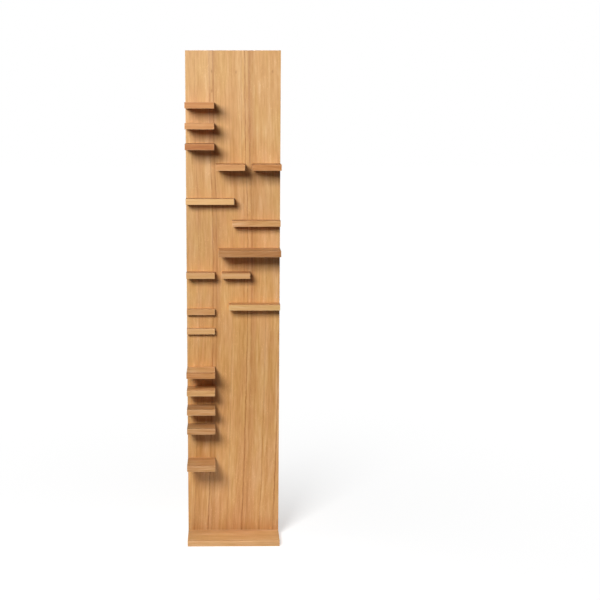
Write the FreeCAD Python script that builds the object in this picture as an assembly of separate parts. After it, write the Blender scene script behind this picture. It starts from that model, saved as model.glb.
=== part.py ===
"""Spine bookshelf: a tall narrow wooden back panel on a base plate, with a ladder of small shelves.

Millimetres, +Z up, front towards -Y. The origin is on the floor, at the centre of the footprint.
Every shelf butts against the front of the back panel on two dowels and is drawn up by screws that
go in from behind. The panel stands near the rear of the base plate and is held from below the same
way, and the plate's short heel behind it steadies it. A keyhole hanger let into the back of the
panel holds it to a wall.
"""
import FreeCAD, Part
import math
import os
from collections import namedtuple

# ---- back panel and base plate ----
PANEL_WIDTH = 350.0
PANEL_THICKNESS = 22.0
BASE_THICKNESS = 22.0
BASE_PROJECTION = 118.0        # how far the base plate reaches in front of the back panel
BASE_HEEL = 20.0               # how far it reaches behind the back panel

# ---- shelf boards ----
SHELF_THICKNESS = 22.0
SHORT_WIDTH = 106.0
MEDIUM_WIDTH = 178.5
LONG_WIDTH = 192.0
LONGEST_WIDTH = 229.5
DEEP_DEPTH = 112.0
STAIR_DEPTH = 84.0
BOOK_EDGE_DEPTH = 52.0
LEDGE_DEPTH = 22.0
NEIGHBOUR_GAP = 26.0           # between two shelves that sit side by side at one height

# ---- clear heights between boards ----
STAIR_SPACE = 52.0             # between the steps of a close run of shelves
BASE_BAY_SPACE = 271.0
LOWEST_SHELF_SPACE = 114.5
LEDGE_BAY_SPACE = 128.5
LEDGE_TOP_SPACE = 120.0
SIDE_BAY_SPACE = 66.0
RIGHT_STEP_SPACE = 84.0
LEFT_STEP_SPACE = 59.0
UPPER_BAY_SPACE = 105.5
HEAD_SPACE = 187.5             # bare panel above the highest shelf
NO_SPACE = 0.0                 # the underside is level with the top of the board named

# ---- joinery ----
EDGE_EASE = 0.8                # radius on the edges that a hand meets
SCREW_RADIUS = 2.5
SCREW_HEAD_RADIUS = 4.75
SCREW_HEAD_RIM = 0.4
SCREW_HEAD_SINK = 0.3          # head below the face of the board
SCREW_TIP = 3.0
SCREW_SOCKET_FLATS = 3.0
SCREW_SOCKET_DEPTH = 2.0
SHELF_SCREW_BITE = 28.0
LEDGE_SCREW_BITE = 14.0
BASE_SCREW_BITE = 38.0
SCREW_CLEARANCE = 0.25         # radial, where the screw passes through a board
SCREW_PILOT_CLEARANCE = 0.05   # radial, where the screw bites; threads are left out
SCREW_PILOT_RUNOUT = 2.0
SCREW_INSET = 34.0             # from a shelf end
THREE_SCREW_WIDTH = 150.0      # shelves from this width on get a screw in the middle
BASE_SCREW_INSET = 45.0
DOWEL_RADIUS = 4.0
DOWEL_CHAMFER = 0.8
DOWEL_CLEARANCE = 0.05         # radial glue gap
DOWEL_END_GAP = 1.0
DOWEL_IN_PANEL = 12.0
DOWEL_IN_SHELF = 18.0
DOWEL_IN_LEDGE = 12.0
DOWEL_IN_BASE = 12.0
DOWEL_IN_PANEL_END = 20.0
DOWEL_INSET = 16.0             # from a shelf end

# ---- wall hanger ----
HANGER_WIDTH = 22.0
HANGER_HEIGHT = 70.0
HANGER_THICKNESS = 2.0
HANGER_DROP = 100.0            # keyhole centre below the top of the panel
HANGER_FIT = 0.2               # all round, in its recess
KEYHOLE_RADIUS = 5.0
KEYHOLE_SLOT_RADIUS = 2.5
KEYHOLE_RISE = 14.0            # from the round hole up to the end of the slot
POCKET_DEPTH = 12.0            # room for the wall screw's head behind the plate
POCKET_MARGIN = 1.5            # wood cut back around the keyhole
HANGER_SCREW_INSET = 8.0
HANGER_SCREW_RADIUS = 1.75
HANGER_SCREW_HEAD_RADIUS = 3.4
HANGER_SCREW_BITE = 13.0
HANGER_SCREW_TIP = 2.0
HANGER_SCREW_SOCKET_FLATS = 2.0
HANGER_SCREW_SOCKET_DEPTH = 1.2

# ---- places that follow from the sizes ----
BASE_DEPTH = BASE_PROJECTION + PANEL_THICKNESS + BASE_HEEL
BASE_BACK_Y = BASE_DEPTH / 2
BASE_FRONT_Y = -BASE_DEPTH / 2
PANEL_BACK_Y = BASE_BACK_Y - BASE_HEEL
PANEL_FRONT_Y = PANEL_BACK_Y - PANEL_THICKNESS
PANEL_MIDDLE_Y = PANEL_BACK_Y - PANEL_THICKNESS / 2
LEFT_X = -PANEL_WIDTH / 2
RIGHT_X = PANEL_WIDTH / 2

UP = FreeCAD.Vector(0, 0, 1)
FORWARD = FreeCAD.Vector(0, -1, 0)

# One row a shelf, from the floor up: its node, where its ends are, its width and depth, the board
# that it is measured from and the clear height between the two.
Rung = namedtuple("Rung", "node place beside width depth over space")
LADDER = (
    Rung("shelf_18", "left_edge", None, SHORT_WIDTH, DEEP_DEPTH, "base_plate", BASE_BAY_SPACE),
    Rung("shelf_17", "left_edge", None, SHORT_WIDTH, STAIR_DEPTH, "shelf_18", LOWEST_SHELF_SPACE),
    Rung("shelf_16", "left_edge", None, SHORT_WIDTH, STAIR_DEPTH, "shelf_17", STAIR_SPACE),
    Rung("shelf_15", "left_edge", None, SHORT_WIDTH, STAIR_DEPTH, "shelf_16", STAIR_SPACE),
    Rung("shelf_14", "left_edge", None, SHORT_WIDTH, DEEP_DEPTH, "shelf_15", STAIR_SPACE),
    Rung("shelf_13", "left_edge", None, SHORT_WIDTH, LEDGE_DEPTH, "shelf_14", LEDGE_BAY_SPACE),
    Rung("shelf_12", "left_edge", None, SHORT_WIDTH, LEDGE_DEPTH, "shelf_13", STAIR_SPACE),
    Rung("shelf_11", "right_edge", None, LONG_WIDTH, BOOK_EDGE_DEPTH, "shelf_12", NO_SPACE),
    Rung("shelf_09", "left_edge", None, SHORT_WIDTH, BOOK_EDGE_DEPTH, "shelf_12", LEDGE_TOP_SPACE),
    Rung("shelf_10", "right_of", "shelf_09", SHORT_WIDTH, BOOK_EDGE_DEPTH, "shelf_12", LEDGE_TOP_SPACE),
    Rung("shelf_08", "right_edge", None, LONGEST_WIDTH, DEEP_DEPTH, "shelf_10", SIDE_BAY_SPACE),
    Rung("shelf_07", "right_edge", None, MEDIUM_WIDTH, BOOK_EDGE_DEPTH, "shelf_08", RIGHT_STEP_SPACE),
    Rung("shelf_06", "left_edge", None, MEDIUM_WIDTH, BOOK_EDGE_DEPTH, "shelf_07", LEFT_STEP_SPACE),
    Rung("shelf_05", "right_edge", None, SHORT_WIDTH, DEEP_DEPTH, "shelf_06", UPPER_BAY_SPACE),
    Rung("shelf_04", "left_of", "shelf_05", SHORT_WIDTH, DEEP_DEPTH, "shelf_06", UPPER_BAY_SPACE),
    Rung("shelf_03", "left_edge", None, SHORT_WIDTH, DEEP_DEPTH, "shelf_04", STAIR_SPACE),
    Rung("shelf_02", "left_edge", None, SHORT_WIDTH, DEEP_DEPTH, "shelf_03", STAIR_SPACE),
    Rung("shelf_01", "left_edge", None, SHORT_WIDTH, DEEP_DEPTH, "shelf_02", STAIR_SPACE),
)

# A shelf in its place: left and right ends, front, underside and top.
Place = namedtuple("Place", "left right front bottom top")


def place_shelves():
    """Work up the ladder from the base plate and give each shelf its place."""
    places = {}
    tops = {"base_plate": BASE_THICKNESS}
    for rung in LADDER:
        if rung.place == "left_edge":
            left = LEFT_X
        elif rung.place == "right_edge":
            left = RIGHT_X - rung.width
        elif rung.place == "left_of":
            left = places[rung.beside].left - NEIGHBOUR_GAP - rung.width
        else:
            left = places[rung.beside].right + NEIGHBOUR_GAP
        bottom = tops[rung.over] + rung.space
        tops[rung.node] = bottom + SHELF_THICKNESS
        front = PANEL_FRONT_Y - rung.depth
        places[rung.node] = Place(left, left + rung.width, front, bottom, tops[rung.node])
    return places


PLACES = place_shelves()
PANEL_TOP_Z = PLACES["shelf_01"].top + HEAD_SPACE


# ---- shapes ----
def board(low, high, sharp_face=None):
    """A board between two corners with eased edges, except round the face that meets its seat."""
    size = high - low
    solid = Part.makeBox(size.x, size.y, size.z, low)
    eased = [edge for edge in solid.Edges if not (sharp_face and lies_on(edge, *sharp_face))]
    return solid.makeFillet(EDGE_EASE, eased)


def lies_on(edge, axis, level):
    """Whether both ends of an edge are on the plane where one coordinate has the given level."""
    return all(abs(getattr(vertex.Point, axis) - level) < 1e-6 for vertex in edge.Vertexes)


def hex_socket(point, direction, flats, depth):
    """The hexagonal prism that a driver bit fits, going in from a point."""
    corner_radius = flats / math.sqrt(3)
    corners = [FreeCAD.Vector(corner_radius * math.cos(math.radians(60 * i)),
                              corner_radius * math.sin(math.radians(60 * i)), 0) for i in range(7)]
    prism = Part.Face(Part.makePolygon(corners)).extrude(UP * depth)
    prism.Placement = FreeCAD.Placement(point, FreeCAD.Rotation(UP, direction))
    return prism


def screw(face_point, direction, length, radius, head_radius, tip, flats, socket_depth):
    """A countersunk screw from the face of its head to its tip, with a hexagonal socket."""
    cone = head_radius - radius
    profile = [(0, 0), (head_radius, 0), (head_radius, SCREW_HEAD_RIM), (radius, SCREW_HEAD_RIM + cone),
               (radius, length - tip), (0, length)]
    wire = Part.makePolygon([FreeCAD.Vector(x, 0, z) for x, z in profile + profile[:1]])
    body = Part.Face(wire).revolve(FreeCAD.Vector(), UP, 360)
    body.Placement = FreeCAD.Placement(face_point, FreeCAD.Rotation(UP, direction))
    return body.cut(hex_socket(face_point, direction, flats, socket_depth))


def screw_hole(mouth, direction, radius, head_radius, through, bite):
    """Countersink, clearance hole and pilot for a screw whose mouth is on a board's face."""
    sink = SCREW_HEAD_SINK + SCREW_HEAD_RIM
    cone = head_radius - radius
    tools = [Part.makeCylinder(head_radius, sink, mouth, direction),
             Part.makeCone(head_radius, radius, cone, mouth + direction * sink, direction),
             Part.makeCylinder(radius + SCREW_CLEARANCE, through, mouth, direction),
             Part.makeCylinder(radius + SCREW_PILOT_CLEARANCE, bite + SCREW_PILOT_RUNOUT,
                               mouth + direction * through, direction)]
    return tools[0].fuse(tools[1:])


def dowel(seam_point, direction, before, after):
    """A dowel with chamfered ends that reaches both ways from the seam between two boards."""
    start = seam_point - direction * before
    rod = Part.makeCylinder(DOWEL_RADIUS, before + after, start, direction)
    ends = [edge for edge in rod.Edges if edge.isClosed()]
    return rod.makeChamfer(DOWEL_CHAMFER, ends)


def dowel_hole(seam_point, direction, before, after):
    """The hole for one dowel, through both boards, with a gap at each end."""
    start = seam_point - direction * (before + DOWEL_END_GAP)
    length = before + after + 2 * DOWEL_END_GAP
    return Part.makeCylinder(DOWEL_RADIUS + DOWEL_CLEARANCE, length, start, direction)


# ---- joints between the boards ----
Joint = namedtuple("Joint", "screws dowels holes")


def shelf_joint(place, screw_bite, dowel_bite):
    """The screws and dowels of one shelf, and the holes that they need."""
    middle_z = (place.bottom + place.top) / 2
    screw_xs = [place.left + SCREW_INSET, place.right - SCREW_INSET]
    if place.right - place.left >= THREE_SCREW_WIDTH:
        screw_xs.append((place.left + place.right) / 2)
    joint = Joint([], [], [])
    for x in screw_xs:
        mouth = FreeCAD.Vector(x, PANEL_BACK_Y, middle_z)
        add_screw(joint, mouth, FORWARD, PANEL_THICKNESS, screw_bite)
    for x in (place.left + DOWEL_INSET, place.right - DOWEL_INSET):
        seam = FreeCAD.Vector(x, PANEL_FRONT_Y, middle_z)
        joint.dowels.append(dowel(seam, FORWARD, DOWEL_IN_PANEL, dowel_bite))
        joint.holes.append(dowel_hole(seam, FORWARD, DOWEL_IN_PANEL, dowel_bite))
    return joint


def base_joint():
    """The screws and dowels between the base plate and the lower end of the panel."""
    screw_xs = [LEFT_X + BASE_SCREW_INSET, 0.0, RIGHT_X - BASE_SCREW_INSET]
    joint = Joint([], [], [])
    for x in screw_xs:
        mouth = FreeCAD.Vector(x, PANEL_MIDDLE_Y, 0)
        add_screw(joint, mouth, UP, BASE_THICKNESS, BASE_SCREW_BITE)
    for left, right in zip(screw_xs, screw_xs[1:]):
        seam = FreeCAD.Vector((left + right) / 2, PANEL_MIDDLE_Y, BASE_THICKNESS)
        joint.dowels.append(dowel(seam, UP, DOWEL_IN_BASE, DOWEL_IN_PANEL_END))
        joint.holes.append(dowel_hole(seam, UP, DOWEL_IN_BASE, DOWEL_IN_PANEL_END))
    return joint


def add_screw(joint, mouth, direction, through, bite):
    """Add one board screw and its hole to a joint."""
    face_point = mouth + direction * SCREW_HEAD_SINK
    length = through - SCREW_HEAD_SINK + bite
    joint.screws.append(screw(face_point, direction, length, SCREW_RADIUS, SCREW_HEAD_RADIUS,
                              SCREW_TIP, SCREW_SOCKET_FLATS, SCREW_SOCKET_DEPTH))
    joint.holes.append(screw_hole(mouth, direction, SCREW_RADIUS, SCREW_HEAD_RADIUS, through, bite))


# ---- wall hanger ----
def keyhole(margin, y_front, y_back):
    """The keyhole's outline, wider by a margin, as a solid between two depths."""
    depth = y_back - y_front
    low = FreeCAD.Vector(0, y_back, PANEL_TOP_Z - HANGER_DROP)
    high = low + UP * KEYHOLE_RISE
    width = 2 * (KEYHOLE_SLOT_RADIUS + margin)
    slot = Part.makeBox(width, depth, KEYHOLE_RISE, FreeCAD.Vector(-width / 2, y_front, low.z))
    entry = Part.makeCylinder(KEYHOLE_RADIUS + margin, depth, low, FORWARD)
    slot_end = Part.makeCylinder(width / 2, depth, high, FORWARD)
    return entry.fuse([slot, slot_end])


def hanger_plate(margin):
    """The hanger's rectangle with round corners, wider by a margin, flush with the back."""
    width = HANGER_WIDTH + 2 * margin
    height = HANGER_HEIGHT + 2 * margin
    middle_z = PANEL_TOP_Z - HANGER_DROP + KEYHOLE_RISE / 2
    corner = FreeCAD.Vector(-width / 2, PANEL_BACK_Y - HANGER_THICKNESS, middle_z - height / 2)
    plate = Part.makeBox(width, HANGER_THICKNESS, height, corner)
    upright = [edge for edge in plate.Edges if abs(edge.tangentAt(edge.FirstParameter).y) > 0.5]
    return plate.makeFillet(HANGER_WIDTH / 4, upright)


def hanger_screw_mouths():
    """Where the hanger's two screws go in, near the ends of the plate."""
    middle_z = PANEL_TOP_Z - HANGER_DROP + KEYHOLE_RISE / 2
    reach = HANGER_HEIGHT / 2 - HANGER_SCREW_INSET
    return [FreeCAD.Vector(0, PANEL_BACK_Y, middle_z + side * reach) for side in (-1, 1)]


def make_hanger():
    """The hanger plate and its screws."""
    plate = hanger_plate(0).cut(keyhole(0, PANEL_BACK_Y - HANGER_THICKNESS, PANEL_BACK_Y))
    screws = []
    for mouth in hanger_screw_mouths():
        plate = plate.cut(hanger_screw_hole(mouth))
        length = HANGER_THICKNESS - SCREW_HEAD_SINK + HANGER_SCREW_BITE
        screws.append(screw(mouth + FORWARD * SCREW_HEAD_SINK, FORWARD, length, HANGER_SCREW_RADIUS,
                            HANGER_SCREW_HEAD_RADIUS, HANGER_SCREW_TIP, HANGER_SCREW_SOCKET_FLATS,
                            HANGER_SCREW_SOCKET_DEPTH))
    return plate, screws


def hanger_screw_hole(mouth):
    """The countersunk hole for one hanger screw, through the plate and into the panel."""
    return screw_hole(mouth, FORWARD, HANGER_SCREW_RADIUS, HANGER_SCREW_HEAD_RADIUS,
                      HANGER_THICKNESS, HANGER_SCREW_BITE)


def hanger_recess():
    """What is cut out of the panel for the hanger, its screws and the wall screw's head."""
    pocket = keyhole(POCKET_MARGIN, PANEL_BACK_Y - POCKET_DEPTH, PANEL_BACK_Y)
    holes = [hanger_screw_hole(mouth) for mouth in hanger_screw_mouths()]
    return hanger_plate(HANGER_FIT).fuse([pocket] + holes)


# ---- the boards with their holes ----
def build():
    """All nodes of the bookshelf, by name."""
    nodes = {}
    screws = {"shelf_screws": [], "ledge_screws": []}
    shelf_dowels = []
    panel_holes = []
    for rung in LADDER:
        place = PLACES[rung.node]
        is_ledge = rung.depth == LEDGE_DEPTH
        screw_bite = LEDGE_SCREW_BITE if is_ledge else SHELF_SCREW_BITE
        dowel_bite = DOWEL_IN_LEDGE if is_ledge else DOWEL_IN_SHELF
        joint = shelf_joint(place, screw_bite, dowel_bite)
        shelf = board(FreeCAD.Vector(place.left, place.front, place.bottom),
                      FreeCAD.Vector(place.right, PANEL_FRONT_Y, place.top), ("y", PANEL_FRONT_Y))
        nodes[rung.node] = shelf.cut(joint.holes)
        screws["ledge_screws" if is_ledge else "shelf_screws"] += joint.screws
        shelf_dowels += joint.dowels
        panel_holes += joint.holes

    foot = base_joint()
    base = board(FreeCAD.Vector(LEFT_X, BASE_FRONT_Y, 0),
                 FreeCAD.Vector(RIGHT_X, BASE_BACK_Y, BASE_THICKNESS))
    panel = board(FreeCAD.Vector(LEFT_X, PANEL_FRONT_Y, BASE_THICKNESS),
                  FreeCAD.Vector(RIGHT_X, PANEL_BACK_Y, PANEL_TOP_Z), ("z", BASE_THICKNESS))
    hanger, hanger_screws = make_hanger()
    nodes["base_plate"] = base.cut(foot.holes)
    nodes["back_panel"] = panel.cut(panel_holes + foot.holes + [hanger_recess()])
    nodes["shelf_dowels"] = Part.makeCompound(shelf_dowels)
    nodes["shelf_screws"] = Part.makeCompound(screws["shelf_screws"])
    nodes["ledge_screws"] = Part.makeCompound(screws["ledge_screws"])
    nodes["base_dowels"] = Part.makeCompound(foot.dowels)
    nodes["base_screws"] = Part.makeCompound(foot.screws)
    nodes["wall_hanger"] = hanger
    nodes["hanger_screws"] = Part.makeCompound(hanger_screws)
    return nodes


os.makedirs("parts", exist_ok=True)
for name, shape in build().items():
    print("%-14s %3d solids, valid %s" % (name, len(shape.Solids), shape.isValid()))
    shape.exportStep("parts/%s.step" % name)
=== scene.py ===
"""The looks of the spine bookshelf: oak boards, zinc-plated fixings, camera, light and floor.

Lengths in the materials of wood and metal are millimetres of the real piece; everything else is
metres.
"""
import math
from collections import namedtuple

import bpy
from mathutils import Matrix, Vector


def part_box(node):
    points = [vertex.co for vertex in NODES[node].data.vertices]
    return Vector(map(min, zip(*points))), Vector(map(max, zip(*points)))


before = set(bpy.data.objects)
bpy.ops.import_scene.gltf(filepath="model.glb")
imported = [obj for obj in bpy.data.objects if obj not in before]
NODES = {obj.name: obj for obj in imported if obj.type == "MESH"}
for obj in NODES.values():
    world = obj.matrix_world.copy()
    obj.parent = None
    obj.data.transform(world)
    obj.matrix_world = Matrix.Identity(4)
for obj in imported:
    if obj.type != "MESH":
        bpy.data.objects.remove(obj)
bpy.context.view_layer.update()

MM = 0.001

# Camera: where it stands, the degrees by which it looks down and to the right, its lens and sensor
# in millimetres, and its sideways shift.
CAMERA_PLACE = (-0.0279, -4.2668, 1.6330)
CAMERA_TILT_DOWN = 9.276
CAMERA_TURN_RIGHT = 0.717
CAMERA_LENS = 69.375
CAMERA_SENSOR = 36.0
CAMERA_SHIFT_X = 0.0998

# A lamp: its place, the point it faces, its two sides and its power.
Lamp = namedtuple("Lamp", "place aim sides power")
SOFTBOX = Lamp((-1.10, -2.77, 2.50), (0.0, 0.04, 0.9), (1.25, 1.05), 118.0)
# A white card lies on the floor in front of the base and lights the lowest shelves from below.
FLOOR_CARD = Lamp((0.0, -0.26, 0.01), (0.0, -0.26, 1.0), (0.5, 0.3), 0.5)
# The back and the right-hand side have a softbox each, which the floor doesn't take.
BACK_SOFTBOX = Lamp((0.0, 2.8, 3.5), (0.0, 0.06, 0.9), (0.35, 1.2), 120.0)
SIDE_SOFTBOX = Lamp((2.4, 0.3, 1.3), (0.0, 0.3, 0.95), (0.3, 1.6), 35.0)
# The world's light on the object, even from all sides.
FILL_STRENGTH = 0.006

# Floor: its size, and its tone to the light that bounces off it, which falls off with the distance.
FLOOR_HALF_SIDE = 30.0
FLOOR_TONE_NEAR = 0.85
FLOOR_TONE_FAR = 0.05
FLOOR_TONE_REACH = (0.3, 1.0)
# Seen directly it glows white. Near the object the lamps light a share of it instead, which gives it
# the shadow: that share, the distance from which it fades and how fast, and the glow it replaces.
FLOOR_GLOW = 1.01
SHADOW_SHARE = 0.80
SHADOW_START = 0.25
SHADOW_FADE = 0.50
FLOOR_LIT = 0.47


def linear(red, green, blue):
    """A screen colour, 0 to 255, as the linear colour that a shader takes."""
    def channel(value):
        value /= 255
        return value / 12.92 if value <= 0.04045 else ((value + 0.055) / 1.055) ** 2.4
    return (channel(red), channel(green), channel(blue), 1.0)


WHITE = (1.0, 1.0, 1.0, 1.0)
WOOD_IOR = 1.46
# How finely a noise is broken up.
FINE_DETAIL = 3.0
# Where the noise of the panel and of the first board starts, and the step to the next board's.
PANEL_SEED = 12.0
FIRST_BOARD_SEED = 20.0
BOARD_SEED_STEP = 3.7

# The common oak, from latewood to earlywood. The other colours are multiplied into it.
WOOD_RAMP = [(0.0, linear(178, 118, 54)), (0.5, linear(210, 158, 102)), (1.0, linear(236, 196, 150))]
# The middle of a colour ramp, and how far the ramp reaches to each side of it.
RAMP_MIDDLE = 0.5
# The hue is wholly yellow where its streaks are a swing below 0, and wholly pink a swing above.
YELLOW_CAST = (0.995, 1.01, 0.96, 1.0)
PINK_CAST = (1.005, 0.99, 1.04, 1.0)
HUE_SWING = 0.12
END_GRAIN = (0.82, 0.71, 0.57, 1.0)
# The edges, pale partly from wear and partly as a painted highlight where light catches them: their
# colour, how far in they reach, and how much of that colour they take.
ARRIS_WEAR_AND_HIGHLIGHT = linear(236, 196, 146)
ARRIS_WIDTH = 2.4
ARRIS_SHARE = 0.4

# Its rings lean as they go into a board, and wander by a reach over a width and a length.
RING_SLANT = 0.35
RING_REACH = 12.0
RING_WIDTH = 90.0
RING_LENGTH = 260.0

# Noise drawn out along the grain: the width and length of its streaks, the offset that sets it apart
# from the others, and how finely and how roughly it is broken up.
Streaks = namedtuple("Streaks", "width length offset detail roughness", defaults=(2.0, 0.5))
PANEL_FIGURE = Streaks(30.0, 850.0, 7.0, 5.0, 0.75)
BOARD_FIGURE = Streaks(12.0, 300.0, 7.0, 5.0, 0.75)
CLOUDS = Streaks(14.0, 70.0, 3.0)
FLECKS = Streaks(5.0, 60.0, 23.0)
HUE_DRIFT = Streaks(30.0, 160.0, 43.0)
FIBRES = Streaks(0.55, 38.0, 31.0, FINE_DETAIL, 0.65)
# How far the streaks reach into the board, as a multiple of their width.
STREAK_DEPTH = 3
# How strongly three of them show in the wood's colour.
FIGURE_GAIN = 0.95
CLOUD_GAIN = 0.25
FLECK_GAIN = 0.5

# The pores lie between the fibres: their colour and size, where a pore's wall begins and ends, the
# levels of the fibres between which pores come, and how much of their colour the wood takes.
PORE = (0.55, 0.42, 0.32, 1.0)
PORE_WIDTH = 0.9
PORE_LENGTH = 9.0
PORE_WALL = (0.16, 0.34)
PORE_FIBRES = (-0.1, 0.25)
PORE_SHARE = 0.5

# The lacquer: its roughness, what pores and fibres add to that, the fibres' height beside the pores'
# depth, and the strength and depth of the whole relief.
LACQUER_ROUGHNESS = 0.46
PORE_ROUGHNESS = 0.2
FIBRE_ROUGHNESS = -0.15
FIBRE_RELIEF = 0.5
RELIEF_STRENGTH = 0.25
RELIEF_DEPTH = 0.12

# The back panel's colour changes slowly with height: share of its height, multiplier. It is partly the
# wood's tone and partly painted light: it lifts the lower middle against the softbox's fall-off, and it
# is darker at the foot.
PANEL_TONE_AND_PAINTED_LIGHT = [(0.02, (0.97, 0.92, 0.86, 1)), (0.08, (0.98, 0.92, 0.79, 1)), (0.19, (1.06, 1.03, 0.93, 1)),
              (0.52, (1.06, 1.06, 0.97, 1)), (0.66, (0.96, 0.98, 0.935, 1)), (0.84, (1.0, 1.03, 0.95, 1)),
              (0.95, (1.02, 1.06, 0.96, 1)), (1.0, (1.0, 1.02, 0.91, 1))]
# It is a little paler on the right: the multipliers at its left and right edges.
PANEL_SIDES = (0.97, 1.04)
# Its figure is a little stronger at the foot: two shares of the height, and the contrast at each.
PANEL_CONTRAST = (0.1, 0.9, 1.15, 1.05)
# Its grain leans as the trunk did: share of the height, and how far over the grain lies there, from 0
# for the whole reach to the left to 1 for the whole reach to the right.
SWEEP_REACH = 12.5
TRUNK_SWEEP = [(0.0, 0.0), (0.14, 0.40), (0.24, 0.62), (0.35, 0.82), (0.46, 0.96), (0.57, 1.0),
               (0.68, 0.94), (0.78, 0.68), (0.87, 0.58), (1.0, 0.50)]
# Its growth lines: millimetres from the left edge before that lean, half width in millimetres, and
# strength at the foot and at the top.
PANEL_LINES = [(34, 3.0, 0.5, 0.3), (87.5, 3.6, 1.0, 0.6), (101.5, 3.4, 0.3, 0.7), (160, 3.0, 0.4, 0.2),
               (204, 5.0, 0.0, 0.4), (217.5, 3.8, 1.0, 0.8), (233, 5.0, 0.3, 0.7), (286, 3.4, 0.5, 0.1),
               (338.5, 3.8, 1.0, 0.2)]
GROWTH_LINE = (0.60, 0.42, 0.29, 1.0)
BESIDE_LINE = (1.03, 1.05, 1.07, 1.0)
# Its broad bands, in the same way; those with a negative strength are pale. Their ramp goes from the
# palest through no change to the darkest.
PANEL_BANDS = [(100, 26, 0.8, 0.9), (238, 26, 0.3, 1.0), (12, 22, -0.8, 0.0)]
BAND_RAMP = [(0.0, (1.12, 1.17, 1.20, 1.0)), (0.5, WHITE), (1.0, (0.86, 0.79, 0.74, 1.0))]
# Between these shares of the height a strength goes from the foot's to the top's.
FOOT_TO_TOP = (0.2, 0.8)

# Noise that is the same right through the panel: the width and height of its patches, the level that
# sets it apart from the others, and how finely it is broken up.
Patches = namedtuple("Patches", "width height level detail", defaults=(2.0,))
# The growth lines wander by a reach.
WANDER = Patches(60, 45, 9.0, FINE_DETAIL)
WANDER_REACH = 6.0
# They fade in and out and are gritty: the noise's low and high level, and the strength at each.
FADE = Patches(30, 130, 4.0)
FADE_LEVELS = (0.3, 0.55, 0.4, 1.0)
GRIT = Patches(4, 16, 6.0, FINE_DETAIL)
GRIT_LEVELS = (0.35, 0.6, 0.6, 1.0)

# The panel's pin knots: millimetres from the left edge and from the top. Each has a core, a reach and
# a strength, and is longer than it is wide.
PANEL_KNOTS = [(97, 75), (186, 78), (320, 76), (97, 145)]
KNOT = (0.55, 0.42, 0.30, 1.0)
KNOT_CORE = 0.5
KNOT_REACH = 5.0
KNOT_STRENGTH = 0.5
KNOT_STRETCH = 2.0

# The panel's ray flecks, and the patches that they lie in: the size of each, and the levels between
# which it comes or goes.
RAY_FLECK = (1.14, 1.20, 1.32, 1.0)
RAY_WIDTH = 6
RAY_LENGTH = 14
RAY_LEVELS = (0.10, 0.30)
RAY_PATCH = (50, 50, 110)
RAY_PATCH_LEVELS = (0.42, 0.60)

# The shelves' tones: how their colours differ from the common oak. They are partly the planks' own tones
# and partly painted light: the lower boards are made paler against the softbox's fall-off, and a face
# tone, which the tops show, is paler where a top gets more light and darker where it lies in shade.
HONEY = (1.01, 1.04, 1.03, 1)
STRAW = (1.17, 1.32, 1.34, 1)
PALE = (1.13, 1.18, 1.26, 1)
PEACH = (0.97, 0.93, 0.88, 1)
APRICOT = (0.95, 0.84, 0.75, 1)
AMBER = (0.88, 0.72, 0.58, 1)
TAWNY = (0.79, 0.59, 0.37, 1)
COPPER = (0.83, 0.64, 0.47, 1)
RUSSET = (0.67, 0.44, 0.24, 1)
TAN = (0.87, 0.80, 0.74, 1)
BROWN = (0.77, 0.74, 0.72, 1)
COCOA = (0.79, 0.68, 0.58, 1)
UMBER = (0.68, 0.57, 0.45, 1)

# The line where a board's top meets its front band, painted shade along that edge, and on a few boards a
# painted highlight instead: where it begins to fade and where it ends on each, in millimetres from the
# edge, and what it multiplies into the colour.
CREST_ON_TOP = (3.0, 14.0)
CREST_ON_FRONT = (0.8, 2.8)
# The two dark crests are painted shade, the deeper one stronger; the pale one is a painted highlight.
PAINTED_SHADE_CREST = (0.92, 0.85, 0.78, 1)
PAINTED_HIGHLIGHT_CREST = (1.06, 1.08, 1.10, 1)
DEEP_PAINTED_SHADE_CREST = (0.66, 0.52, 0.40, 1)

# A board: the tones of its front band and of its faces, the contrast of its stripes, how its grain
# rises to the right, and its crest.
Plank = namedtuple("Plank", "band face contrast rise crest", defaults=(1.0, 0.0, None))
PLANKS = {
    "shelf_01": Plank(TAWNY, TAWNY, 1.0, 0.0, PAINTED_SHADE_CREST),
    "shelf_02": Plank(AMBER, AMBER, 1.0, 0.0, PAINTED_SHADE_CREST),
    "shelf_03": Plank(RUSSET, RUSSET, 1.5, 0.0, PAINTED_SHADE_CREST),
    "shelf_04": Plank(APRICOT, AMBER),
    "shelf_05": Plank(COPPER, COPPER, 2.0, -0.10, PAINTED_SHADE_CREST),
    "shelf_06": Plank(STRAW, COCOA, 0.6),
    "shelf_07": Plank(PEACH, COCOA, 1.8, 0.08, PAINTED_SHADE_CREST),
    "shelf_08": Plank(UMBER, TAN, 1.5, 0.08, PAINTED_SHADE_CREST),
    "shelf_09": Plank(HONEY, TAN, 0.6),
    "shelf_10": Plank(HONEY, COCOA, 0.6, 0.0, DEEP_PAINTED_SHADE_CREST),
    "shelf_11": Plank(STRAW, TAN, 1.0, 0.0, PAINTED_SHADE_CREST),
    "shelf_12": Plank(PEACH, COCOA),
    "shelf_13": Plank(PALE, TAN, 0.7),
    # Its pale face is painted light: the top is made paler for the light that falls on it.
    "shelf_14": Plank(AMBER, PALE, 1.4, -0.03, DEEP_PAINTED_SHADE_CREST),
    "shelf_15": Plank(PALE, PEACH, 1.3),
    "shelf_16": Plank(PEACH, BROWN, 1.3, 0.0, PAINTED_HIGHLIGHT_CREST),
    "shelf_17": Plank(TAN, BROWN, 1.3, 0.0, PAINTED_HIGHLIGHT_CREST),
    "shelf_18": Plank(TAN, TAN, 1.4, 0.03, PAINTED_SHADE_CREST),
    # Its pale top is painted light: made paler for the light that falls on it.
    "base_plate": Plank(PALE, PALE, 0.8),
}

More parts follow.
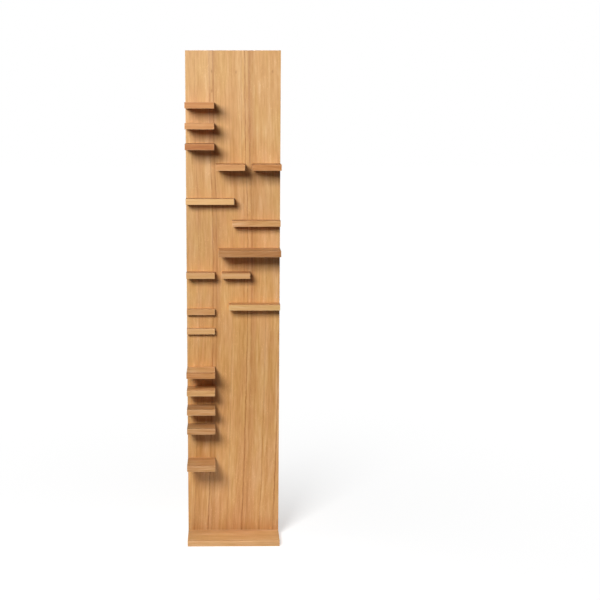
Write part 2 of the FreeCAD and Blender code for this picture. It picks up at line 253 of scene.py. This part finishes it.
# In the finish of beech and zinc, a roughness is two levels of the noise and the roughness at each,
# and a relief is its strength and its depth.
# Beech: its colours, the size of its flecks on each axis, and the levels between which they come.
BEECH = linear(231, 200, 160)
BEECH_FLECK = linear(196, 150, 108)
BEECH_FLECK_SIZE = (0.8, 4.0, 0.8)
BEECH_FLECK_LEVELS = (0.45, 0.7)
BEECH_ROUGHNESS = (0.3, 0.7, 0.55, 0.7)
BEECH_RELIEF = (0.2, 0.1)

# Zinc: its colours, the brushed grain's size, and the levels between which the dull mottle comes.
SCREW_ZINC = linear(178, 173, 156)
PLATE_ZINC = linear(164, 167, 169)
DULL_ZINC = linear(150, 152, 148)
BRUSH_WIDTH = 0.25
BRUSH_LENGTH = 14.0
MOTTLE_LEVELS = (0.35, 0.65)
ZINC_ROUGHNESS = (0.3, 0.7, 0.40, 0.52)
ZINC_RELIEF = (0.15, 0.05)

Axes = namedtuple("Axes", "x y z")


class Shader:
    """The node tree of a material or the world, with one short call for each kind of node."""

    def __init__(self, owner):
        owner.use_nodes = True
        self.owner = owner
        self.tree = owner.node_tree
        self.tree.nodes.clear()

    def add(self, kind, **settings):
        node = self.tree.nodes.new("ShaderNode" + kind)
        for name, value in settings.items():
            setattr(node, name, value)
        return node

    def feed(self, socket, value):
        """Links another node's output to an input, or sets the input to a number or colour."""
        if isinstance(value, bpy.types.NodeSocket):
            self.tree.links.new(value, socket)
        else:
            socket.default_value = value

    def math(self, operation, first, second=None, third=None):
        node = self.add("Math", operation=operation)
        for socket, value in zip(node.inputs, (first, second, third)):
            if value is not None:
                self.feed(socket, value)
        return node.outputs[0]

    def scaled(self, value, gain, base=0.0):
        return self.math("MULTIPLY_ADD", value, gain, base)

    def total(self, first, *others):
        for other in others:
            first = self.math("ADD", first, other)
        return first

    def distance(self, value, level):
        return self.math("ABSOLUTE", self.math("SUBTRACT", value, level))

    def spread(self, value, low, high, to_low=0.0, to_high=1.0, smooth=False):
        """Maps low..high to to_low..to_high, and holds the ends."""
        kind = "SMOOTHSTEP" if smooth else "LINEAR"
        node = self.add("MapRange", interpolation_type=kind)
        for socket, number in zip(node.inputs, (value, low, high, to_low, to_high)):
            self.feed(socket, number)
        return node.outputs[0]

    def falling(self, value, low, high, strength=1.0):
        """The strength up to a low value, falling smoothly to 0 at a high one."""
        return self.spread(value, low, high, strength, 0.0, smooth=True)

    def vector(self, x, y, z):
        node = self.add("CombineXYZ")
        for socket, value in zip(node.inputs, (x, y, z)):
            self.feed(socket, value)
        return node.outputs[0]

    def sized(self, place, sizes, offsets=(0.0, 0.0, 0.0)):
        """The point at which a texture of that size on each axis is read, moved by the offsets."""
        return self.vector(*[self.scaled(coordinate, 1 / size, offset)
                             for coordinate, size, offset in zip(place, sizes, offsets)])

    def noise(self, vector, detail=2.0, roughness=0.5):
        node = self.add("TexNoise")
        self.feed(node.inputs["Vector"], vector)
        self.feed(node.inputs["Scale"], 1.0)
        self.feed(node.inputs["Detail"], detail)
        self.feed(node.inputs["Roughness"], roughness)
        return node.outputs[0]

    def cells(self, vector):
        """How far a point is from the nearest of a scatter of points, one to a unit cell."""
        node = self.add("TexVoronoi")
        self.feed(node.inputs["Vector"], vector)
        self.feed(node.inputs["Scale"], 1.0)
        return node.outputs["Distance"]

    def ramp(self, value, stops):
        """A colour ramp from (place, colour) stops."""
        node = self.add("ValToRGB")
        self.feed(node.inputs[0], value)
        elements = node.color_ramp.elements
        while len(elements) < len(stops):
            elements.new(0.5)
        for element, stop in zip(elements, stops):
            element.position, element.color = stop
        return node.outputs[0]

    def curve(self, value, points):
        """A smooth curve through (place, height) points, all from 0 to 1."""
        node = self.add("FloatCurve")
        self.feed(node.inputs["Value"], value)
        line = node.mapping.curves[0]
        while len(line.points) < len(points):
            line.points.new(0.5, 0.5)
        for point, place in zip(line.points, points):
            point.location = place
        node.mapping.update()
        return node.outputs[0]

    def mix(self, factor, first, second, blend="MIX"):
        node = self.add("Mix", data_type="RGBA", blend_type=blend)
        self.feed(node.inputs[0], factor)
        self.feed(node.inputs[6], first)
        self.feed(node.inputs[7], second)
        return node.outputs[2]

    def stain(self, factor, base, colour):
        """Multiplies a colour into the base by a factor."""
        return self.mix(factor, base, colour, "MULTIPLY")

    def bump(self, height, strength, depth):
        node = self.add("Bump")
        self.feed(node.inputs["Strength"], strength)
        self.feed(node.inputs["Distance"], depth * MM)
        self.feed(node.inputs["Height"], height)
        return node.outputs[0]

    def place(self):
        """X, Y and Z of the point in millimetres."""
        where = self.add("TexCoord").outputs["Object"]
        in_millimetres = self.add("VectorMath", operation="SCALE")
        self.feed(in_millimetres.inputs[0], where)
        self.feed(in_millimetres.inputs["Scale"], 1 / MM)
        parts = self.add("SeparateXYZ")
        self.feed(parts.inputs[0], in_millimetres.outputs[0])
        return Axes(*parts.outputs)

    def facing(self):
        """How squarely the surface faces along X, Y and Z, from 0 to 1."""
        parts = self.add("SeparateXYZ")
        self.feed(parts.inputs[0], self.add("NewGeometry").outputs["Normal"])
        return Axes(*[self.math("ABSOLUTE", part) for part in parts.outputs])

    def surface(self, colour, roughness, normal, constants):
        """The principled surface; the constants, by name, are set on its own sockets."""
        shader = self.add("BsdfPrincipled")
        self.feed(shader.inputs["Base Color"], colour)
        self.feed(shader.inputs["Roughness"], roughness)
        self.feed(shader.inputs["Normal"], normal)
        for name, value in constants.items():
            shader.inputs[name].default_value = value
        return self.shown("OutputMaterial", shader.outputs[0])

    def matt(self, tone):
        """A matt grey surface."""
        node = self.add("BsdfDiffuse")
        self.feed(node.inputs["Color"], self.vector(tone, tone, tone))
        return node.outputs[0]

    def glow(self, kind, strength):
        """White light from a surface, Emission, or from all around, Background."""
        node = self.add(kind)
        self.feed(node.inputs["Color"], WHITE)
        self.feed(node.inputs["Strength"], strength)
        return node.outputs[0]

    def shown(self, kind, shader):
        """Ends the tree with its output, and gives back the material or the world."""
        output = self.add(kind)
        self.feed(output.inputs["Surface"], shader)
        return self.owner


class Oak(Shader):
    """A lacquered oak board whose grain runs along X or Z; its rings lie across the other two."""

    def __init__(self, node, grain, seed):
        super().__init__(bpy.data.materials.new("oak_" + node))
        self.seed = seed
        self.low, self.high = [Vector(corner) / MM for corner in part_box(node)]
        self.spot = self.place()
        x, self.through, z = self.spot
        self.along, across = (z, x) if grain == "Z" else (x, z)
        slow = self.noise(self.grained(across, RING_WIDTH, RING_WIDTH, RING_LENGTH))
        self.ring = self.total(across, self.scaled(self.through, RING_SLANT),
                               self.scaled(slow, RING_REACH, -RING_REACH / 2))

    def grained(self, across, width, depth, length, offset=0.0):
        """The point at which a texture of that size is read; its length lies along the grain."""
        return self.sized((across, self.through, self.along), (width, depth, length),
                          (offset, 0.0, self.seed))

    def bend(self, shift):
        """Moves the grain across the board by a shift that changes along it."""
        self.ring = self.math("SUBTRACT", self.ring, shift)

    def streaks(self, kind):
        """Noise drawn out along the grain; 0 on average."""
        where = self.grained(self.ring, kind.width, STREAK_DEPTH * kind.width, kind.length,
                             self.seed + kind.offset)
        return self.scaled(self.noise(where, kind.detail, kind.roughness), 1.0, -0.5)

    def scatter(self, width, length):
        """How far a point is from the nearest of a scatter of points, drawn out along the grain."""
        return self.cells(self.grained(self.ring, width, width, length))

    def patches(self, kind):
        """Noise over the board's front, the same right through it."""
        where = self.vector(self.scaled(self.spot.x, 1 / kind.width), kind.level,
                            self.scaled(self.spot.z, 1 / kind.height))
        return self.noise(where, kind.detail)

    def arrises(self):
        """1 at the edges where the board's faces meet, falling to 0 at a width in from them."""
        depths = []
        for coordinate, low, high in zip(self.spot, self.low, self.high):
            depths.append(self.math("MINIMUM", self.math("SUBTRACT", coordinate, low),
                                    self.math("SUBTRACT", high, coordinate)))
        x, y, z = depths
        nearest = self.math("MINIMUM", x, y)
        other = self.math("MAXIMUM", x, y)
        second = self.math("MAXIMUM", nearest, self.math("MINIMUM", other, z))
        return self.falling(second, 0.0, ARRIS_WIDTH)

    def crest(self):
        """1 at the edge between the board's top and its front, falling to 0 along each of the two."""
        back = self.math("SUBTRACT", self.spot.y, self.low.y)
        down = self.math("SUBTRACT", self.high.z, self.spot.z)
        return self.math("MULTIPLY", self.falling(back, *CREST_ON_TOP),
                         self.falling(down, *CREST_ON_FRONT))


def common_oak(oak, figure, contrast):
    """The colour of the wood itself: figure, clouds, flecks and a drift in hue."""
    shade = oak.total(oak.scaled(oak.streaks(figure), FIGURE_GAIN),
                      oak.scaled(oak.streaks(CLOUDS), CLOUD_GAIN),
                      oak.scaled(oak.streaks(FLECKS), FLECK_GAIN))
    colour = oak.ramp(oak.scaled(shade, contrast, RAMP_MIDDLE), WOOD_RAMP)
    hue = oak.spread(oak.streaks(HUE_DRIFT), -HUE_SWING, HUE_SWING)
    return oak.stain(1.0, colour, oak.mix(hue, YELLOW_CAST, PINK_CAST))


def lacquer(oak, colour, crest=None):
    """Open pores, pale arrises that are partly wear and partly a painted highlight, the crest's painted
    shade and highlight, and a thin satin lacquer over a board's colour.
    """
    fibres = oak.streaks(FIBRES)
    pores = oak.math("MULTIPLY", oak.spread(oak.scatter(PORE_WIDTH, PORE_LENGTH), *PORE_WALL, 1.0, 0.0),
                     oak.spread(fibres, *PORE_FIBRES))
    colour = oak.stain(oak.scaled(pores, PORE_SHARE), colour, PORE)
    # Pale arrises: partly wear, partly a painted highlight where light catches the edges.
    colour = oak.mix(oak.scaled(oak.arrises(), ARRIS_SHARE), colour, ARRIS_WEAR_AND_HIGHLIGHT)
    # The crest: painted shade on most boards, a painted highlight on some.
    if crest:
        colour = oak.stain(oak.crest(), colour, crest)
    relief = oak.total(oak.scaled(pores, -1.0), oak.scaled(fibres, FIBRE_RELIEF))
    rough = oak.total(oak.scaled(pores, PORE_ROUGHNESS),
                      oak.scaled(fibres, FIBRE_ROUGHNESS, LACQUER_ROUGHNESS))
    return oak.surface(colour, rough, oak.bump(relief, RELIEF_STRENGTH, RELIEF_DEPTH), {"IOR": WOOD_IOR})


def panel_oak():
    """The tall panel: one wide veneer leaf with long growth lines."""
    oak = Oak("back_panel", "Z", PANEL_SEED)
    share = oak.scaled(oak.along, 1 / oak.high.z)
    lean = oak.scaled(oak.curve(share, TRUNK_SWEEP), 2 * SWEEP_REACH, -SWEEP_REACH)
    oak.bend(lean)
    colour = common_oak(oak, PANEL_FIGURE, oak.spread(share, *PANEL_CONTRAST))
    from_left = oak.math("SUBTRACT", oak.scaled(oak.spot.x, 1.0, -oak.low.x), lean)
    colour = broad_bands(oak, colour, share, from_left)
    colour = growth_lines(oak, colour, share, from_left)
    colour = pin_knots(oak, colour)
    colour = ray_flecks(oak, colour)
    # Tone and painted light by height, against the softbox's fall-off down the panel.
    colour = oak.stain(1.0, colour, oak.ramp(share, PANEL_TONE_AND_PAINTED_LIGHT))
    paler = oak.spread(oak.spot.x, oak.low.x, oak.high.x, *PANEL_SIDES)
    colour = oak.stain(1.0, colour, oak.vector(paler, paler, paler))
    colour = oak.stain(oak.facing().z, colour, END_GRAIN)
    return lacquer(oak, colour)


def broad_bands(oak, colour, share, from_left):
    """The darker and paler bands that run the height of the panel."""
    depth = RAMP_MIDDLE
    for middle, half, at_foot, at_top in PANEL_BANDS:
        strength = oak.spread(share, *FOOT_TO_TOP, at_foot * RAMP_MIDDLE, at_top * RAMP_MIDDLE)
        band = oak.falling(oak.distance(from_left, middle), 0.0, half, strength)
        depth = oak.math("ADD", depth, band)
    return oak.stain(1.0, colour, oak.ramp(depth, BAND_RAMP))


def growth_lines(oak, colour, share, from_left):
    """The dark growth lines that run the height of the panel, wander a little and fade in and out."""
    ring = oak.total(from_left, oak.scaled(oak.patches(WANDER), WANDER_REACH, -WANDER_REACH / 2))
    fade = oak.math("MULTIPLY", oak.spread(oak.patches(FADE), *FADE_LEVELS),
                    oak.spread(oak.patches(GRIT), *GRIT_LEVELS))
    dark = 0.0
    light = 0.0
    for middle, half, at_foot, at_top in PANEL_LINES:
        strength = oak.spread(share, *FOOT_TO_TOP, at_foot, at_top)
        off = oak.distance(ring, middle)
        dark = oak.math("MAXIMUM", dark, oak.falling(off, 0.0, half, strength))
        light = oak.math("MAXIMUM", light, oak.falling(oak.distance(off, 2 * half), 0.0, half, strength))
    colour = oak.stain(oak.math("MULTIPLY", light, fade), colour, BESIDE_LINE)
    return oak.stain(oak.math("MULTIPLY", dark, fade), colour, GROWTH_LINE)


def pin_knots(oak, colour):
    """Small dark knots near the top of the panel, drawn out a little along the grain."""
    for from_left, from_top in PANEL_KNOTS:
        sideways = oak.distance(oak.spot.x, oak.low.x + from_left)
        upwards = oak.scaled(oak.distance(oak.spot.z, oak.high.z - from_top), 1 / KNOT_STRETCH)
        reach = oak.math("SQRT", oak.total(oak.math("POWER", sideways, 2.0),
                                           oak.math("POWER", upwards, 2.0)))
        colour = oak.stain(oak.falling(reach, KNOT_CORE, KNOT_REACH, KNOT_STRENGTH), colour, KNOT)
    return colour


def ray_flecks(oak, colour):
    """The short pale flecks where the rays of the wood meet the surface, in patches."""
    patches = oak.noise(oak.sized(oak.spot, RAY_PATCH, (0.0, oak.seed, 0.0)))
    amount = oak.math("MULTIPLY", oak.spread(oak.scatter(RAY_WIDTH, RAY_LENGTH), *RAY_LEVELS, 1.0, 0.0),
                      oak.spread(patches, *RAY_PATCH_LEVELS))
    return oak.stain(amount, colour, RAY_FLECK)


def board_oak(node, plank, seed):
    """A shelf or the base plate, grain from end to end: the front band and the faces share the figure and
    take tones of their own, partly painted light.
    """
    oak = Oak(node, "X", seed)
    oak.bend(oak.scaled(oak.along, plank.rise))
    colour = common_oak(oak, BOARD_FIGURE, plank.contrast)
    facing = oak.facing()
    # Tops and bottoms take the face tone, the rest the band's; both tones are partly painted light.
    colour = oak.stain(1.0, colour, oak.mix(facing.z, plank.band, plank.face))
    colour = oak.stain(facing.x, colour, END_GRAIN)
    return lacquer(oak, colour, plank.crest)


def beech():
    """Turned beech rod with short dark flecks along it."""
    shader = Shader(bpy.data.materials.new("beech_dowel"))
    flecks = shader.noise(shader.sized(shader.place(), BEECH_FLECK_SIZE), FINE_DETAIL)
    colour = shader.mix(shader.spread(flecks, *BEECH_FLECK_LEVELS), BEECH, BEECH_FLECK)
    return shader.surface(colour, shader.spread(flecks, *BEECH_ROUGHNESS),
                          shader.bump(flecks, *BEECH_RELIEF), {"IOR": WOOD_IOR})


def zinc(name, colour, grain):
    """Zinc-plated steel with a faint brushed grain along one axis and a mottled passivation."""
    shader = Shader(bpy.data.materials.new(name))
    spot = shader.place()
    sizes = [BRUSH_WIDTH, BRUSH_WIDTH, BRUSH_WIDTH]
    sizes["XYZ".index(grain)] = BRUSH_LENGTH
    brushed = shader.noise(shader.sized(spot, sizes), FINE_DETAIL)
    mottle = shader.noise(shader.vector(*spot))
    plated = shader.mix(shader.spread(mottle, *MOTTLE_LEVELS), colour, DULL_ZINC)
    return shader.surface(plated, shader.spread(brushed, *ZINC_ROUGHNESS),
                          shader.bump(brushed, *ZINC_RELIEF), {"Metallic": 1.0})


def dress(name, material):
    """Gives a CAD node its material."""
    node = NODES[name]
    if not node.material_slots:
        node.data.materials.append(material)
    for slot in node.material_slots:
        slot.material = material


def finish_boards():
    dress("back_panel", panel_oak())
    for number, (name, plank) in enumerate(PLANKS.items()):
        dress(name, board_oak(name, plank, FIRST_BOARD_SEED + BOARD_SEED_STEP * number))


def finish_fixings():
    rod = beech()
    for name in ("shelf_dowels", "base_dowels"):
        dress(name, rod)
    zinc_screw = zinc("zinc_screw", SCREW_ZINC, "Y")
    for name in ("shelf_screws", "ledge_screws", "base_screws", "hanger_screws"):
        dress(name, zinc_screw)
    dress("wall_hanger", zinc("zinc_plate", PLATE_ZINC, "X"))


def seen_directly(shader):
    """1 for rays from the camera and for mirrored or transmitted ones."""
    path = shader.add("LightPath")
    return shader.math("MAXIMUM", path.outputs["Is Camera Ray"],
                       shader.math("MAXIMUM", path.outputs["Is Glossy Ray"],
                                   path.outputs["Is Transmission Ray"]))


def floor_finish():
    """A matt floor that is seen as white, apart from the shadow near the object."""
    shader = Shader(bpy.data.materials.new("floor"))
    spot = shader.place()
    length = shader.add("VectorMath", operation="LENGTH")
    shader.feed(length.inputs[0], shader.vector(spot.x, spot.y, 0.0))
    reach = shader.scaled(length.outputs["Value"], MM)
    tone = shader.spread(reach, *FLOOR_TONE_REACH, FLOOR_TONE_NEAR, FLOOR_TONE_FAR)
    beyond = shader.math("MAXIMUM", shader.math("SUBTRACT", reach, SHADOW_START), 0.0)
    fade = shader.math("EXPONENT", shader.scaled(beyond, -1 / SHADOW_FADE))
    share = shader.scaled(fade, SHADOW_SHARE)
    seen = shader.add("AddShader")
    shader.feed(seen.inputs[0], shader.matt(share))
    shader.feed(seen.inputs[1], shader.glow("Emission", shader.scaled(share, -FLOOR_LIT, FLOOR_GLOW)))
    mixed = shader.add("MixShader")
    shader.feed(mixed.inputs[0], seen_directly(shader))
    shader.feed(mixed.inputs[1], shader.matt(tone))
    shader.feed(mixed.inputs[2], seen.outputs[0])
    return shader.shown("OutputMaterial", mixed.outputs[0])


def make_floor():
    """The floor that the bookshelf stands on."""
    half = FLOOR_HALF_SIDE
    corners = [(-half, -half, 0), (half, -half, 0), (half, half, 0), (-half, half, 0)]
    mesh = bpy.data.meshes.new("floor")
    mesh.from_pydata(corners, [], [(0, 1, 2, 3)])
    mesh.materials.append(floor_finish())
    floor = bpy.data.objects.new("floor", mesh)
    bpy.context.scene.collection.objects.link(floor)
    return floor


def make_world():
    """White to the camera and to transmitted rays, and a weak even fill for the object."""
    world = bpy.data.worlds.new("studio")
    bpy.context.scene.world = world
    shader = Shader(world)
    path = shader.add("LightPath")
    seen = shader.math("MAXIMUM", path.outputs["Is Camera Ray"], path.outputs["Is Transmission Ray"])
    strength = shader.spread(seen, 0.0, 1.0, FILL_STRENGTH, 1.0)
    shader.shown("OutputWorld", shader.glow("Background", strength))


def make_lamp(name, lamp, passes_by=None):
    """A rectangular lamp; it doesn't light the object that it passes by."""
    data = bpy.data.lights.new(name, "AREA")
    data.shape = "RECTANGLE"
    data.size, data.size_y = lamp.sides
    data.energy = lamp.power
    light = bpy.data.objects.new(name, data)
    bpy.context.scene.collection.objects.link(light)
    light.location = lamp.place
    light.rotation_euler = (Vector(lamp.aim) - Vector(lamp.place)).to_track_quat("-Z", "Y").to_euler()
    if passes_by:
        unlit = bpy.data.collections.new(name + "_passes_by")
        unlit.objects.link(passes_by)
        light.light_linking.receiver_collection = unlit
        unlit.collection_objects[0].light_linking.link_state = "EXCLUDE"


def make_camera():
    data = bpy.data.cameras.new("camera")
    data.sensor_width = CAMERA_SENSOR
    data.lens = CAMERA_LENS
    data.shift_x = CAMERA_SHIFT_X
    camera = bpy.data.objects.new("camera", data)
    bpy.context.scene.collection.objects.link(camera)
    camera.location = CAMERA_PLACE
    camera.rotation_euler = (math.radians(90 - CAMERA_TILT_DOWN), 0, math.radians(-CAMERA_TURN_RIGHT))
    bpy.context.scene.camera = camera


finish_boards()
finish_fixings()
floor = make_floor()
make_world()
make_lamp("softbox", SOFTBOX)
make_lamp("floor_card", FLOOR_CARD)
make_lamp("back_softbox", BACK_SOFTBOX, passes_by=floor)
make_lamp("side_softbox", SIDE_SOFTBOX, passes_by=floor)
make_camera()
bpy.context.scene.view_settings.view_transform = "Standard"
